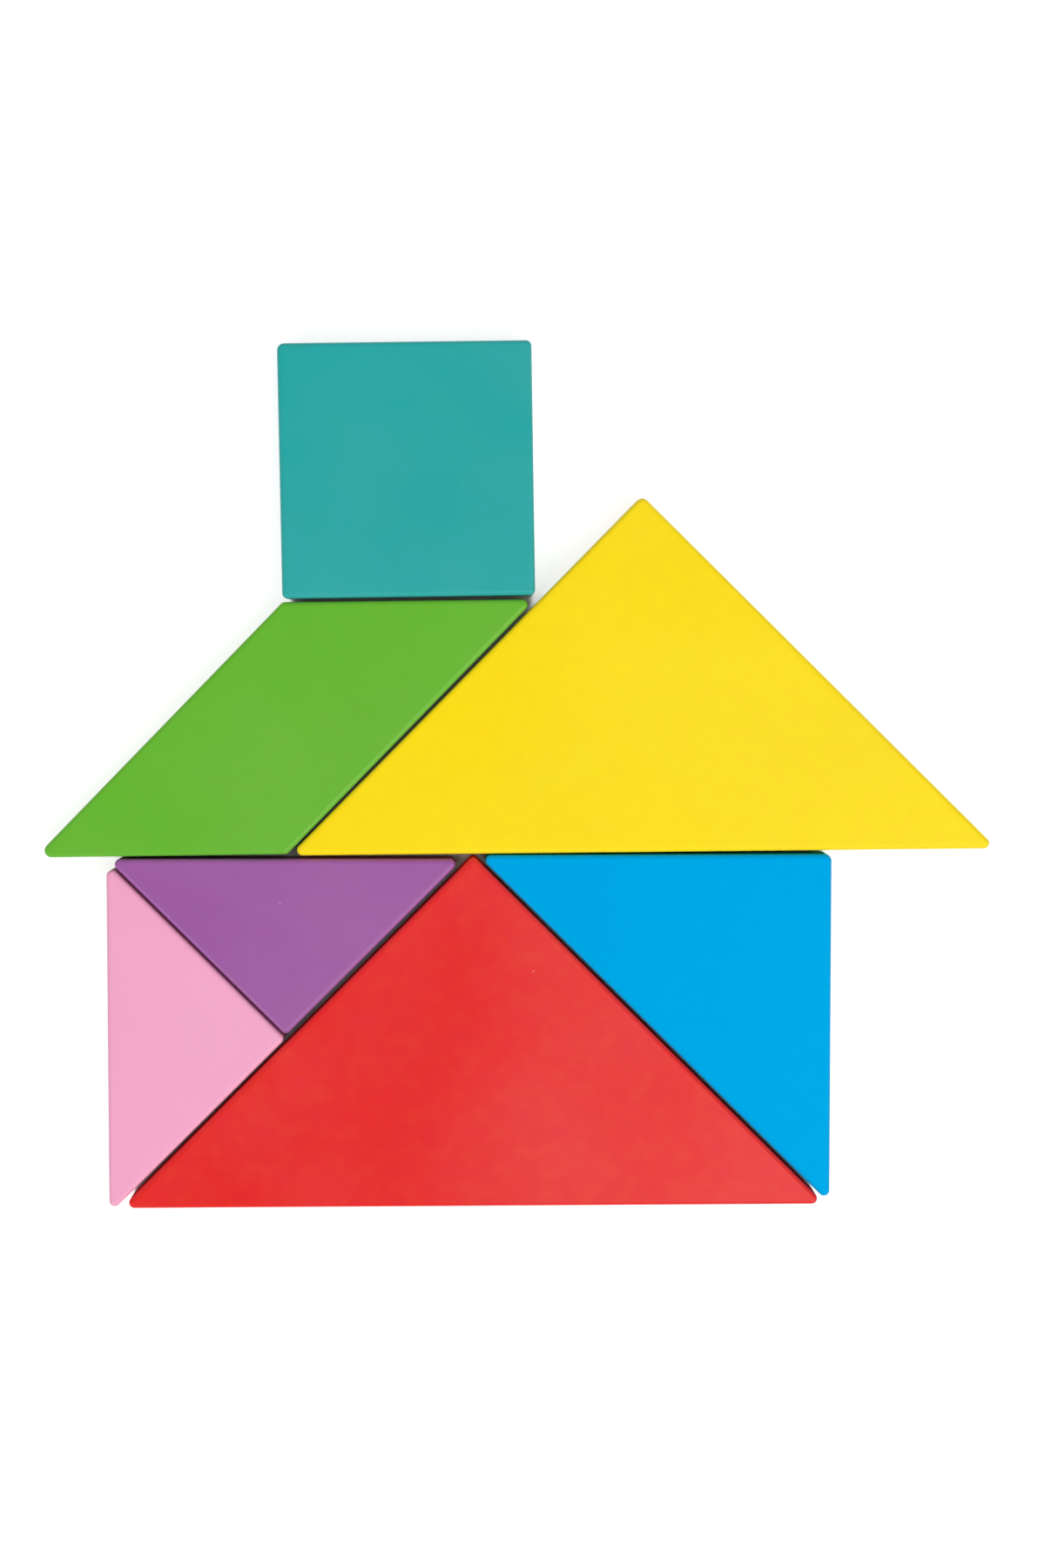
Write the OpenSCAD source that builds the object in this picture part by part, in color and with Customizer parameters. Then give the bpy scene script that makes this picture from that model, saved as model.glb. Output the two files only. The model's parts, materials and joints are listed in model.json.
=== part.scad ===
// Tangram puzzle: seven lacquered wooden tans laid out as a house, seen from above.
// One large, one medium and two small triangles make the wall, the parallelogram and
// the other large triangle make the roof, and the small square is the chimney.
// X runs along the wall, Y runs up to the chimney and Z runs up out of the table.
// The origin lies under the middle of the house, at the height of the table.

/* [Tans] */
// Side of the small square, from which every other side of the set follows
square_side = 50; // [20:1:120]
// Thickness of the wood
thickness = 8; // [4:0.5:20]
// Radius of most of the upright corners
corner_r = 1.1; // [0.3:0.1:3]
// Radius of the corners that are rounder than the rest
blunt_corner_r = 1.4; // [0.3:0.1:3]
// Rounding along the top and bottom edges
edge_r = 0.9; // [0.2:0.05:1.9]

/* [Layout] */
// Gap that the pink and the blue triangle keep from the sides of the red one
seam = 0.7; // [0:0.05:3]
// Wider gap that the purple triangle keeps from the red one
loose_seam = 0.95; // [0:0.05:5]
// Gap between the pink and the purple triangle
pair_seam = 0.55; // [0:0.05:3]
// Narrower gap between the yellow triangle and the highest point of the wall
tight_seam = 0.3; // [0:0.05:3]
// Gap that the parallelogram keeps from the wall and from the yellow triangle
roof_seam = 0.5; // [0:0.05:3]
// Gap under the chimney
chimney_seam = 0.65; // [0:0.05:3]
// Gap between the foot of the chimney and the side of the yellow triangle
chimney_gap = 1.8; // [0:0.1:20]
// How far the two small triangles have slid down the side of the red triangle
left_slide = 2.5; // [0:0.1:10]
// How far the blue triangle has slid down the other side of the red triangle
right_slide = 0.6; // [0:0.1:10]
// How far the roof reaches past the wall on the right
eaves = 31.65; // [0:0.05:60]
// Turn of the two small triangles, in degrees anticlockwise
pair_turn = -0.2; // [-2:0.05:2]
// Turn of the yellow triangle, in degrees anticlockwise
yellow_turn = 0.4; // [-2:0.05:2]
// Turn of the parallelogram, in degrees anticlockwise
green_turn = 0.6; // [-2:0.05:2]
// Turn of the chimney, in degrees anticlockwise
teal_turn = 0.8; // [-2:0.05:2]

/* [Hidden] */
// Flats round a full turn of an upright corner, and across a rounded edge
corner_steps = 32;
edge_steps = 4;

// Angles between the sides of the tans
right_angle = 90;
diagonal = right_angle / 2;
half_turn = 2 * right_angle;
// Turn that lays a triangle on its long side, with its right angle up
peak_angle = half_turn + diagonal;

// Plane geometry
function unit(v) = v / norm(v);
function facing(angle) = [cos(angle), sin(angle)];
function turned(p, angle) = p.x * facing(angle) + p.y * facing(angle + right_angle);
function xy(corner) = [corner.x, corner.y];

// A tan is a list of its sharp corners, anticlockwise, each as [x, y, radius], and
// the radius of the first is given apart from that of the others
function rounded(points, first_r, r) =
    [for (i = [0 : len(points) - 1]) [points[i].x, points[i].y, i == 0 ? first_r : r]];

// A triangle has its right angle at the origin and its equal sides along X and Y
function triangle_tan(side, right_r) =
    rounded(side * [[0, 0], [1, 0], [0, 1]], right_r, corner_r);
small_tan = triangle_tan(square_side, corner_r);
medium_tan = triangle_tan(square_side * sqrt(2), blunt_corner_r);
large_tan = triangle_tan(square_side * 2, corner_r);
blunt_large_tan = triangle_tan(square_side * 2, blunt_corner_r);

// The parallelogram is rounder at its left tip, and the square at its top left
parallelogram_tan =
    rounded(square_side * [[0, 0], [1, 0], [2, 1], [1, 1]], blunt_corner_r, corner_r);
square_tan =
    rounded(square_side * [[0, 1], [0, 0], [1, 0], [1, 1]], blunt_corner_r, corner_r);

// Centre of the arc that rounds corner i, at its radius from both sides that meet there
function arc_centre(tan, i) =
    let (
        n = len(tan),
        ahead = unit(xy(tan[(i + 1) % n] - tan[i])),
        back = unit(xy(tan[(i + n - 1) % n] - tan[i])),
        half_angle = acos(ahead * back) / 2
    )
    xy(tan[i]) + unit(ahead + back) * tan[i].z / sin(half_angle);

// A laid tan is [tan, angle, place], and these say where it is on the table
function laid_point(laid, p) = turned(p, laid[1]) + laid[2];
function laid_corner(laid, i) = laid_point(laid, xy(laid[0][i]));

// How far laid tans reach along a direction, from the origin
function reach(laid, dir) = max([
    for (i = [0 : len(laid[0]) - 1])
        laid_point(laid, arc_centre(laid[0], i)) * dir + laid[0][i].z
]);
function group_reach(group, dir) = max([for (laid = group) reach(laid, dir)]);

// Moves a laid tan along way, which is dir unless given, until its near side lies
// the gap beyond a line across dir
function seated(laid, dir, line, gap, way) =
    let (w = is_undef(way) ? dir : way)
    [laid[0], laid[1], laid[2] + w * (line + gap + reach(laid, -dir)) / (w * dir)];

// The red triangle lies at the foot of the wall with its right angle up
red_peak = [0, norm(xy(large_tan[1])) / sqrt(2)];
red = [large_tan, peak_angle, red_peak];
up_left = facing(right_angle + diagonal);
up_right = facing(diagonal);

// The pink and purple triangles meet at their right angles, half way up its left side
pair_place = (red_peak + laid_corner(red, 1)) / 2 - left_slide * up_right;
pink = seated([small_tan, right_angle + diagonal + pair_turn, pair_place],
    up_left, red_peak * up_left, seam);
pair_right = facing(diagonal + pair_turn);
purple_on_pink = seated([small_tan, diagonal + pair_turn, pair_place],
    pair_right, reach(pink, pair_right), pair_seam);
purple = seated(purple_on_pink, up_left, red_peak * up_left, loose_seam);

// The blue triangle lies along its right side, with its right angle at the top right
blue_place = red_peak + [medium_tan[1].x, 0] - right_slide * up_left;
blue = seated([medium_tan, half_turn, blue_place], up_right, red_peak * up_right, seam);

// The yellow triangle rests on the highest point of the wall, its right angle up
wall = [red, blue, purple, pink];
yellow_up = facing(right_angle + yellow_turn);
yellow_along = facing(yellow_turn);
yellow_angle = peak_angle + yellow_turn;
yellow_raw = [blunt_large_tan, yellow_angle, [0, 0]];
yellow_end = group_reach(wall, yellow_along) + eaves - reach(yellow_raw, yellow_along);
yellow = seated([blunt_large_tan, yellow_angle, yellow_end * yellow_along],
    yellow_up, group_reach(wall, yellow_up), tight_seam);
yellow_left = facing(right_angle + diagonal + yellow_turn);
yellow_side = reach(yellow, yellow_left);

// The parallelogram rests on the wall too, and against the side of the yellow triangle
green_up = facing(right_angle + green_turn);
green_left = facing(half_turn + green_turn);
green_on_wall = seated([parallelogram_tan, green_turn, [0, 0]],
    green_up, group_reach(wall, green_up), roof_seam);
green = seated(green_on_wall, yellow_left, yellow_side, roof_seam, green_left);

// The chimney stands on the parallelogram, clear of the yellow triangle
teal_on_green = seated([square_tan, teal_turn, [0, 0]],
    green_up, reach(green, green_up), chimney_seam);
teal = seated(teal_on_green, yellow_left, yellow_side, chimney_gap, green_left);

// Middle of the whole house
house = concat(wall, [green, yellow, teal]);
middle = [
    group_reach(house, [1, 0]) - group_reach(house, [-1, 0]),
    group_reach(house, [0, 1]) - group_reach(house, [0, -1])
] / 2;

// Flat outline of a tan, stretched over the arcs that round its corners
module tan_outline(tan) {
    hull()
        for (i = [0 : len(tan) - 1])
            translate(arc_centre(tan, i))
                circle(tan[i].z, $fn = corner_steps);
}

// One whole tan in its place in the house. Along its top and bottom edges the outline
// draws in by steps round a quarter circle, and the body is stretched over the steps.
module tan_body(laid) {
    translate(laid[2] - middle)
        rotate(laid[1])
            hull()
                for (slope = [0 : right_angle / edge_steps : right_angle]) {
                    rise = edge_r * (1 - sin(slope));
                    draw_in = edge_r * (1 - cos(slope));
                    translate([0, 0, rise])
                        linear_extrude(thickness - 2 * rise)
                            offset(delta = -draw_in)
                                tan_outline(laid[0]);
                }
}

module red_large_triangle() {
    color("#E73939") tan_body(red);
}

module blue_medium_triangle() {
    color("#00A8E5") tan_body(blue);
}

module purple_small_triangle() {
    color("#A15EA2") tan_body(purple);
}

module pink_small_triangle() {
    color("#F1A7C7") tan_body(pink);
}

module green_parallelogram() {
    color("#69B639") tan_body(green);
}

module yellow_large_triangle() {
    color("#FEDE1C") tan_body(yellow);
}

module teal_small_square() {
    color("#33A7A3") tan_body(teal);
}

red_large_triangle();
blue_medium_triangle();
purple_small_triangle();
pink_small_triangle();
green_parallelogram();
yellow_large_triangle();
teal_small_square();
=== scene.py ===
"""A tangram laid out as a house: seven lacquered wooden tans on a white table, seen from above."""

import json
import math

import bmesh
import bpy
from mathutils import Matrix, Vector, geometry


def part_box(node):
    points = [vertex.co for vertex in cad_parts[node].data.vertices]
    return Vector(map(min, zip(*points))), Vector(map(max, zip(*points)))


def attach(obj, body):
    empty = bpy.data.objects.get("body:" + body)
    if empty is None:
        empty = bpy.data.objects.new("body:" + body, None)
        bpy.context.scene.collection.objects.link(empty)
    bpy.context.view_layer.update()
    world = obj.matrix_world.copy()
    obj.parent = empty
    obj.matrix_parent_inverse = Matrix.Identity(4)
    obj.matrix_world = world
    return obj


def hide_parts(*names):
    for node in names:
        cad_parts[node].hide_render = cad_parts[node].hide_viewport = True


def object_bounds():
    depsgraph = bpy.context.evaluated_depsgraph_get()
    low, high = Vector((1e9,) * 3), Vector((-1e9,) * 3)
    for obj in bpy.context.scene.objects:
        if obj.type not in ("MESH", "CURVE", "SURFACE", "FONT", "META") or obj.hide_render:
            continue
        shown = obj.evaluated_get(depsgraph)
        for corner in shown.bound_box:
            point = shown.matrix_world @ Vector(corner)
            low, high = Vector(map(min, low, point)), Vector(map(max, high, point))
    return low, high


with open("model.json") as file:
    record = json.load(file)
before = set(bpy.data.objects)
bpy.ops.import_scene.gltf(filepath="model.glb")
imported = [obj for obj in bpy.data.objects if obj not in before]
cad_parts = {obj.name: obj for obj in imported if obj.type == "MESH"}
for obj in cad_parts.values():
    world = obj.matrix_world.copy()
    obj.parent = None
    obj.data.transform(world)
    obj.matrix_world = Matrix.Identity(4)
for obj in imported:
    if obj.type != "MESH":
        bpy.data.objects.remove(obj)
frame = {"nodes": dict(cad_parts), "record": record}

MM = 0.001
CAD_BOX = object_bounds()
TOP = CAD_BOX[1].z

# Camera: the photograph looks down on the house from a little to the left of and beyond its middle
LENS = 53.8
SENSOR = 36.0
VIEW_DISTANCE = 465.3 * MM
VIEW_CENTRE = Vector((0.73 * MM, -1.20 * MM, TOP))
LEAN_BEYOND = math.radians(3.5)
LEAN_LEFT = math.radians(1.2)
ROLL = math.radians(-0.08)

# Light: a large lamp high on the right, two small low ones that light up the rims, and an even surround
# with its own levels at the horizon and overhead. Each lamp has its size, its heading and height in
# degrees, and the level at which it lights a white table.
LAMP_DISTANCE = 2.2
LAMPS = {
    "high_lamp": (1.7, -45, 60, 0.26),
    "right_lamp": (0.6, -45, 40, 0.05),
    "left_lamp": (0.6, -135, 40, 0.075),
}
HORIZON_LEVEL = 0.62
ZENITH_LEVEL = 0.54

# Table: its grey in the open and deep in a seam, the white glow that lifts the open part for camera and
# glossy rays, and the share of rays that get away freely within the reach, from a dark seam to the open.
# The seam grey is paler than the open grey: painted light on the floor of the seams.
TABLE_SIZE = 8
TABLE_DROP = 0.02 * MM
TABLE_ROUGHNESS = 0.9
OPEN_GREY = 0.5
SEAM_GREY = 0.6
OPEN_LIFT = 0.71
SHADE_RAYS = 32
SHADE_REACH = 12 * MM
OPEN_RANGE = (0.14, 0.22)

# Form of the tans: the edges, the corners in plan, and the rings that divide the flat faces
EDGE = 0.9 * MM
EDGE_ROWS = 8
CORNER_STEP = math.radians(7.5)
SIDE_STEP = 4 * MM
LEAST_SIDE = 10 * MM
FACE_RINGS = (0.985, 0.95, 0.88, 0.75, 0.55, 0.3)

# Lacquer: the colour of each tan, and the colour that its sheen takes on
LOOKS = {
    "red_large_triangle": {"colour": "#E80802", "sheen": "#FFEEEE"},
    "blue_medium_triangle": {"colour": "#00A6E5", "sheen": "#00C8FF"},
    "purple_small_triangle": {"colour": "#9F55A1", "sheen": "#FFFFFF"},
    "pink_small_triangle": {"colour": "#F7A6C9", "sheen": "#FFFFFF"},
    "green_parallelogram": {"colour": "#61B728", "sheen": "#FFFFD0"},
    "yellow_large_triangle": {"colour": "#FFE000", "sheen": "#FFFFA8"},
    "teal_small_square": {"colour": "#00A7A4", "sheen": "#EEFFFF"},
}
GLOSS = 0.4
ROUGHNESS = 0.31
ROUGH_DRIFT = 0.03
SIDE_ROUGHNESS = 0.85

# Upright part of the surface normal where a rim starts, and where it has become a cut side
RIM_START = 0.97
SIDE_START = 0.5

# Unevenness of the lacquer: waves per metre of each pattern, the range of its noise that counts, and
# how strongly it shows
PATTERN_STEP = (0.31, 0.17, 0)
BROAD_WAVES = 32
FINE_WAVES = 260
SHEEN_PATCH_WAVES = 26
PEEL_WAVES = 480
GRAIN_WAVES = 2600
SHEEN_PATCH_DETAIL = 4.0
PEEL_DETAIL = 1.0
TONE_RANGE = (0.3, 0.7)
SHEEN_PATCH_RANGE = (0.35, 0.65)
TONE_BROAD = 0.014
TONE_FINE = 0.005
HUE_DRIFT = 0.0015
# Painted sheen: the share of the base colour turned towards the sheen colour in broad random patches
PAINTED_SHEEN_PATCHES = 0.024
# Painted highlight: the share of the base colour turned towards the sheen colour on the rims
PAINTED_RIM_HIGHLIGHT = 0.025
PEEL = 0.04 * MM
PEEL_STRENGTH = 0.5
GRAIN_SHARE = 0.12

# Dust nibs: one at most in each cell, with a solid middle
NIB_SPACING = 30 * MM
NIB_SIZE = 0.22 * MM
NIB_CORE = 0.4
NIB_SHARE = 0.12
NIB_PALENESS = 0.25


def linear(code):
    """An sRGB colour code as a linear colour."""
    parts = [int(code[i:i + 2], 16) / 255 for i in (1, 3, 5)]
    return [c / 12.92 if c <= 0.04045 else ((c + 0.055) / 1.055) ** 2.4 for c in parts]


# The outline of a tan, read from its CAD node

def plan_sides(node):
    """The long straight sides of a node's outline in plan, anticlockwise, as pairs of points."""
    points = [v.co.xy for v in frame["nodes"][node].data.vertices]
    ring = [points[i] for i in geometry.convex_hull_2d(points)]
    sides = []
    for i, start in enumerate(ring):
        end = ring[(i + 1) % len(ring)]
        if (end - start).length > LEAST_SIDE:
            sides.append((start.copy(), end.copy()))
    return sides


def rounded_corners(node):
    """Each corner of a tan as (centre of its arc, radius, heading of the normal before and after it)."""
    sides = plan_sides(node)
    corners = []
    for i, (start, end) in enumerate(sides):
        next_start, next_end = sides[(i + 1) % len(sides)]
        before = (end - start).normalized()
        after = (next_end - next_start).normalized()
        turn = -before.angle_signed(after)
        tip = meeting(start, before, next_start, after)
        radius = (tip - end).length / math.tan(turn / 2)
        out = Vector((before.y, -before.x))
        heading = math.atan2(out.y, out.x)
        corners.append((end - out * radius, radius, heading, heading + turn))
    return corners


def meeting(a, along_a, b, along_b):
    """Where two lines in the plane meet."""
    cross = along_a.x * along_b.y - along_a.y * along_b.x
    gap = b - a
    return a + along_a * ((gap.x * along_b.y - gap.y * along_b.x) / cross)


def outline(corners, inset):
    """Points round a tan, a distance inside its widest outline, the same number for every inset."""
    points = []
    for i, (centre, radius, first, last) in enumerate(corners):
        steps = max(2, math.ceil((last - first) / CORNER_STEP))
        for step in range(steps + 1):
            heading = first + (last - first) * step / steps
            points.append(centre + Vector((math.cos(heading), math.sin(heading))) * (radius - inset))
        next_centre, next_radius, next_first, _ = corners[(i + 1) % len(corners)]
        out = Vector((math.cos(next_first), math.sin(next_first)))
        start = points[-1]
        end = next_centre + out * (next_radius - inset)
        parts = math.ceil((next_centre - centre).length / SIDE_STEP)
        points.extend(start.lerp(end, part / parts) for part in range(1, parts))
    return points


def tan_piece(name, node, edge):
    """A tan with finely eased edges, in the place and size of its CAD node."""
    corners = rounded_corners(node)
    low, high = (corner.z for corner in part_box(node))
    rows = []
    for side, base in ((-1, low + edge), (1, high - edge)):
        for row in range(EDGE_ROWS + 1):
            angle = math.pi / 2 * (row / EDGE_ROWS if side > 0 else 1 - row / EDGE_ROWS)
            rows.append((edge * (1 - math.cos(angle)), base + side * edge * math.sin(angle)))
    mesh = bmesh.new()
    rings = [[mesh.verts.new((*p, z)) for p in outline(corners, inset)] for inset, z in rows]
    middle = sum((centre for centre, *_ in corners), Vector((0, 0))) / len(corners)
    for ring, at_end in ((rings[0], 0), (rings[-1], 1)):
        for share in FACE_RINGS:
            inner = [mesh.verts.new((*middle.lerp(v.co.xy, share), v.co.z)) for v in ring]
            rings.insert(len(rings) if at_end else 0, inner)
    count = len(rings[0])
    for ring, above in zip(rings, rings[1:]):
        for i in range(count):
            j = (i + 1) % count
            mesh.faces.new((ring[i], ring[j], above[j], above[i]))
    for ring, turn in ((rings[0], -1), (rings[-1], 1)):
        centre = mesh.verts.new((*middle, ring[0].co.z))
        for i in range(count):
            mesh.faces.new((ring[i], ring[(i + 1) % count], centre)[::turn])
    for face in mesh.faces:
        face.smooth = True
    data = bpy.data.meshes.new(name)
    mesh.to_mesh(data)
    mesh.free()
    piece = bpy.data.objects.new(name, data)
    bpy.context.scene.collection.objects.link(piece)
    return piece


class Weave:
    """Short calls that add and join the nodes of one material."""

    def __init__(self, name):
        self.material = bpy.data.materials.new(name)
        self.material.use_nodes = True
        self.nodes = self.material.node_tree.nodes
        self.links = self.material.node_tree.links
        self.shader = self.nodes["Principled BSDF"]

    def put(self, kind, output, settings=None, **inputs):
        """Adds a node, sets or links its inputs by name, and gives one of its outputs."""
        node = self.nodes.new("ShaderNode" + kind)
        for key, value in (settings or {}).items():
            setattr(node, key, value)
        for key, value in inputs.items():
            self.feed(node, key.replace("_", " "), value)
        return node.outputs[output]

    def feed(self, node, key, value):
        if isinstance(value, bpy.types.NodeSocket):
            self.links.new(value, node.inputs[key])
        else:
            node.inputs[key].default_value = value

    def sums(self, operation, *terms):
        """A math node, whose inputs go by their order."""
        node = self.nodes.new("ShaderNodeMath")
        node.operation = operation
        for i, term in enumerate(terms):
            self.feed(node, i, term)
        return node.outputs[0]

    def spread(self, value, low, high, new_low, new_high):
        """Maps a value's range to another, and keeps to its ends."""
        return self.put("MapRange", "Result", Value=value, From_Min=low, From_Max=high,
                        To_Min=new_low, To_Max=new_high)

    def blend(self, share, first, second):
        """Mixes two colours, whose sockets on a mix node go by their order."""
        node = self.nodes.new("ShaderNodeMix")
        node.data_type = "RGBA"
        for i, term in ((0, share), (6, first), (7, second)):
            self.feed(node, i, term)
        return node.outputs[2]


def lacquer(name, look, seed):
    """Opaque satin lacquer, a little uneven in tone, sheen and surface, with painted sheen in broad
    random patches, a painted highlight on its rims and a few dust nibs.
    """
    weave = Weave(name)
    shift = [seed * step for step in PATTERN_STEP]
    place = weave.put("Mapping", 0, Vector=weave.put("TexCoord", "Object"), Location=shift)

    def cloud(waves, detail=2.0):
        return weave.put("TexNoise", "Fac", Vector=place, Scale=waves, Detail=detail)

    def times(value, factor):
        return weave.sums("MULTIPLY", value, factor)

    # How far the surface has turned into a cut side, and where it is half way there, on a rim
    normal = weave.put("TexCoord", "Normal")
    level = weave.sums("ABSOLUTE", weave.put("SeparateXYZ", "Z", Vector=normal))
    side = weave.spread(level, 0.0, SIDE_START, 1, 0)
    off_level = weave.spread(level, RIM_START, SIDE_START, 0, 1)
    rim = times(off_level, weave.sums("SUBTRACT", 1.0, side))

    # Tone: broad patches where the coat is thicker, and fine mottling
    broad = weave.spread(cloud(BROAD_WAVES), *TONE_RANGE, -1, 1)
    fine = weave.spread(cloud(FINE_WAVES), *TONE_RANGE, -1, 1)
    tone = weave.sums("ADD", times(broad, TONE_BROAD), times(fine, TONE_FINE))
    colour = weave.put("HueSaturation", "Color", Color=(*linear(look["colour"]), 1),
                       Value=weave.sums("ADD", tone, 1.0),
                       Hue=weave.sums("ADD", times(fine, HUE_DRIFT), 0.5))

    # Dust nibs: a tiny dot in some of the cells of a coarse pattern
    distance = weave.put("TexVoronoi", "Distance", {"voronoi_dimensions": "2D"},
                         Vector=place, Scale=1 / NIB_SPACING)
    pick = weave.put("SeparateColor", "Red", Color=distance.node.outputs["Color"])
    radius = NIB_SIZE / NIB_SPACING
    near = weave.spread(distance, NIB_CORE * radius, radius, 1, 0)
    nib = times(near, weave.sums("LESS_THAN", pick, NIB_SHARE))

    # Paler towards the sheen colour: painted sheen in broad random patches, a painted highlight on the
    # rims, and paler dust nibs
    painted_sheen = times(weave.spread(cloud(SHEEN_PATCH_WAVES, SHEEN_PATCH_DETAIL), *SHEEN_PATCH_RANGE, 0, 1), PAINTED_SHEEN_PATCHES)
    # A painted highlight on every rim, where the normal starts to tip over
    painted_sheen = weave.sums("ADD", painted_sheen, times(rim, PAINTED_RIM_HIGHLIGHT))
    share = weave.sums("ADD", times(nib, NIB_PALENESS), painted_sheen)
    sheen = (*linear(look["sheen"]), 1)
    weave.feed(weave.shader, "Base Color", weave.blend(share, colour, sheen))

    # Sheen and surface: an orange peel of shallow waves, finer grain in the coat, and the nibs
    rough = weave.sums("ADD", times(broad, ROUGH_DRIFT), ROUGHNESS)
    rough = weave.sums("ADD", rough, times(side, SIDE_ROUGHNESS - ROUGHNESS))
    weave.feed(weave.shader, "Roughness", rough)
    weave.feed(weave.shader, "Specular IOR Level", GLOSS)
    weave.feed(weave.shader, "Specular Tint", sheen)
    peel = weave.sums("ADD", cloud(PEEL_WAVES, PEEL_DETAIL), times(cloud(GRAIN_WAVES), GRAIN_SHARE))
    bumps = weave.put("Bump", "Normal", Height=weave.sums("ADD", peel, nib),
                      Strength=PEEL_STRENGTH, Distance=PEEL)
    weave.feed(weave.shader, "Normal", bumps)
    return weave.material


def make_tans():
    """All seven tans, each in the place of its CAD node and in its own lacquer."""
    slots = {row["node"]: row["material_slot"] for row in frame["record"]["subparts"]}
    for seed, (node, look) in enumerate(LOOKS.items()):
        piece = tan_piece("lacquered_" + node, node, EDGE)
        piece.data.materials.append(lacquer(slots[node], look, seed))
        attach(piece, "root")
        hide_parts(node)


def make_floor():
    """A grey table that shows white to the camera in the open, and keeps its shadows and dark seams."""
    bpy.ops.mesh.primitive_plane_add(size=TABLE_SIZE, location=(0, 0, -TABLE_DROP))
    floor = bpy.context.object
    floor.name = "table"
    weave = Weave("white_table")
    weave.feed(weave.shader, "Roughness", TABLE_ROUGHNESS)
    weave.feed(weave.shader, "Specular IOR Level", 0.0)
    openness = weave.put("AmbientOcclusion", "AO", {"samples": SHADE_RAYS}, Distance=SHADE_REACH)
    # Paler grey where the tans shut the table in: painted light on the floor of the seams
    grey = weave.spread(openness, *OPEN_RANGE, SEAM_GREY, OPEN_GREY)
    weave.feed(weave.shader, "Base Color", weave.put("CombineColor", 0, Red=grey, Green=grey, Blue=grey))
    path = weave.put("LightPath", "Is Camera Ray").node
    seen = weave.sums("MAXIMUM", path.outputs["Is Camera Ray"], path.outputs["Is Glossy Ray"])
    lift = weave.sums("MULTIPLY", weave.spread(openness, *OPEN_RANGE, 0, OPEN_LIFT), seen)
    weave.feed(weave.shader, "Emission Color", (1, 1, 1, 1))
    weave.feed(weave.shader, "Emission Strength", lift)
    floor.data.materials.append(weave.material)


def make_world():
    """An even surround that lights the house, and is white to the camera."""
    world = bpy.data.worlds.new("studio")
    bpy.context.scene.world = world
    world.use_nodes = True
    nodes, links = world.node_tree.nodes, world.node_tree.links
    background = nodes["Background"]
    background.inputs["Color"].default_value = (1, 1, 1, 1)
    place = nodes.new("ShaderNodeTexCoord")
    split = nodes.new("ShaderNodeSeparateXYZ")
    links.new(place.outputs["Generated"], split.inputs[0])
    square = nodes.new("ShaderNodeMath")
    square.operation = "MULTIPLY"
    links.new(split.outputs["Z"], square.inputs[0])
    links.new(split.outputs["Z"], square.inputs[1])
    level = nodes.new("ShaderNodeMapRange")
    level.inputs["To Min"].default_value = HORIZON_LEVEL
    level.inputs["To Max"].default_value = ZENITH_LEVEL
    links.new(square.outputs[0], level.inputs["Value"])
    path = nodes.new("ShaderNodeLightPath")
    seen = nodes.new("ShaderNodeMix")
    links.new(path.outputs["Is Camera Ray"], seen.inputs["Factor"])
    links.new(level.outputs["Result"], seen.inputs["A"])
    seen.inputs["B"].default_value = 1.0
    links.new(seen.outputs["Result"], background.inputs["Strength"])


def make_lamp(name, size, heading, height, level):
    """A round lamp that faces the house."""
    data = bpy.data.lights.new(name, "AREA")
    data.shape = "DISK"
    data.size = size
    heading, height = math.radians(heading), math.radians(height)
    level_part = math.cos(height)
    reach = Vector((level_part * math.cos(heading), level_part * math.sin(heading), math.sin(height)))
    # Power at which a disc, seen as large as it is, gives a white table that level
    data.energy = level * math.pi ** 2 * (LAMP_DISTANCE ** 2 + (size / 2) ** 2) / math.sin(height)
    lamp = bpy.data.objects.new(name, data)
    lamp.location = reach * LAMP_DISTANCE
    lamp.rotation_euler = (-reach).to_track_quat("-Z", "Y").to_euler()
    bpy.context.scene.collection.objects.link(lamp)


def make_camera():
    """The photograph's camera, which leans and rolls a little."""
    data = bpy.data.cameras.new("camera")
    data.sensor_width = SENSOR
    data.lens = LENS
    camera = bpy.data.objects.new("camera", data)
    back = Vector((-math.sin(LEAN_LEFT), math.sin(LEAN_BEYOND), 1)).normalized()
    right = Vector((0, 1, 0)).cross(back).normalized()
    turn = Matrix((right, back.cross(right), back)).transposed().to_4x4()
    place = Matrix.Translation(VIEW_CENTRE + back * VIEW_DISTANCE)
    camera.matrix_world = place @ turn @ Matrix.Rotation(ROLL, 4, "Z")
    bpy.context.scene.collection.objects.link(camera)
    bpy.context.scene.camera = camera


make_camera()
make_world()
for lamp, setting in LAMPS.items():
    make_lamp(lamp, *setting)
make_floor()
make_tans()
bpy.context.scene.view_settings.view_transform = "Standard"
